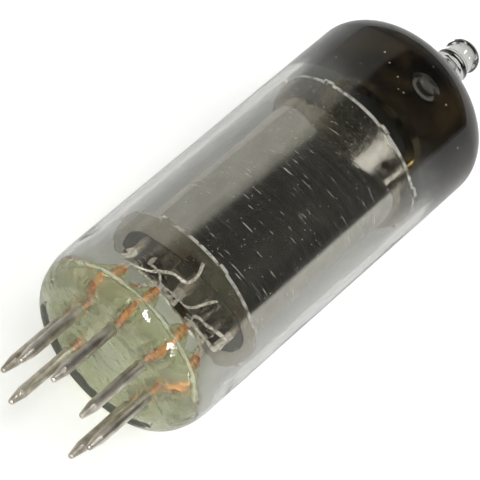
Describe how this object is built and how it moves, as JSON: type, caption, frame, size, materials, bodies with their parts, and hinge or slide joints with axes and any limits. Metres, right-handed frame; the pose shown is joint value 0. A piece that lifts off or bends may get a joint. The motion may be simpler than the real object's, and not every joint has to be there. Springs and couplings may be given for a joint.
{
  "type": "vacuum tube",
  "caption": "Miniature all-glass radio tube: a pressed glass base with pins, a clear bulb with a sealed-off tip, and a shielded electrode cage between mica spacers.",
  "frame": {"origin": "centre of the pin circle on the outer face of the glass base", "axes": "+X along the tube's axis towards the sealed-off tip, +Z through the pin opposite the gap in the ring of pins; the tube lies on its side"},
  "size_m": [0.0539, 0.0176, 0.0176],
  "materials": {
    "clear_glass": "clear, polished",
    "button_glass": "pressed, faintly green",
    "mica": "clear split mica with bright edges",
    "polished_nickel": "polished, finely scratched around",
    "grey_anode": "matte carbonised grey",
    "pin_nickel": "dull drawn nickel",
    "dumet_copper": "oxidised copper sheath",
    "nickel_wire": "bright drawn nickel",
    "grid_wire": "drawn, slightly warm",
    "oxide_coating": "chalky white",
    "heater_coating": "matte white",
    "getter_metal": "heat-tinted nickel",
    "getter_residue": "burnt dark",
    "getter_mirror": "dark mirror, thinning to a smoky edge"
  },
  "bodies": {
    "root": {"anode": "grey_anode", "anode_rod_1": "nickel_wire", "anode_rod_2": "nickel_wire", "cathode_coating": "oxide_coating", "cathode_jumper": "nickel_wire", "cathode_sleeve": "nickel_wire", "control_grid": "grid_wire", "dumet_seal_1": "dumet_copper", "dumet_seal_2": "dumet_copper", "dumet_seal_3": "dumet_copper", "dumet_seal_4": "dumet_copper", "dumet_seal_5": "dumet_copper", "dumet_seal_6": "dumet_copper", "dumet_seal_7": "dumet_copper", "exhaust_tip": "clear_glass", "getter_fill": "getter_residue", "getter_film": "getter_mirror", "getter_post": "nickel_wire", "getter_ring": "getter_metal", "glass_bulb": "clear_glass", "glass_button": "button_glass", "heater": "heater_coating", "inner_lead_1": "nickel_wire", "inner_lead_2": "nickel_wire", "inner_lead_3": "nickel_wire", "inner_lead_4": "nickel_wire", "inner_lead_5": "nickel_wire", "inner_lead_6": "nickel_wire", "inner_lead_7": "nickel_wire", "lower_mica": "mica", "pin_1": "pin_nickel", "pin_2": "pin_nickel", "pin_3": "pin_nickel", "pin_4": "pin_nickel", "pin_5": "pin_nickel", "pin_6": "pin_nickel", "pin_7": "pin_nickel", "screen_grid": "grid_wire", "shield": "polished_nickel", "shield_jumper": "nickel_wire", "suppressor_grid": "grid_wire", "upper_mica": "mica"}
  },
  "joints": []
}
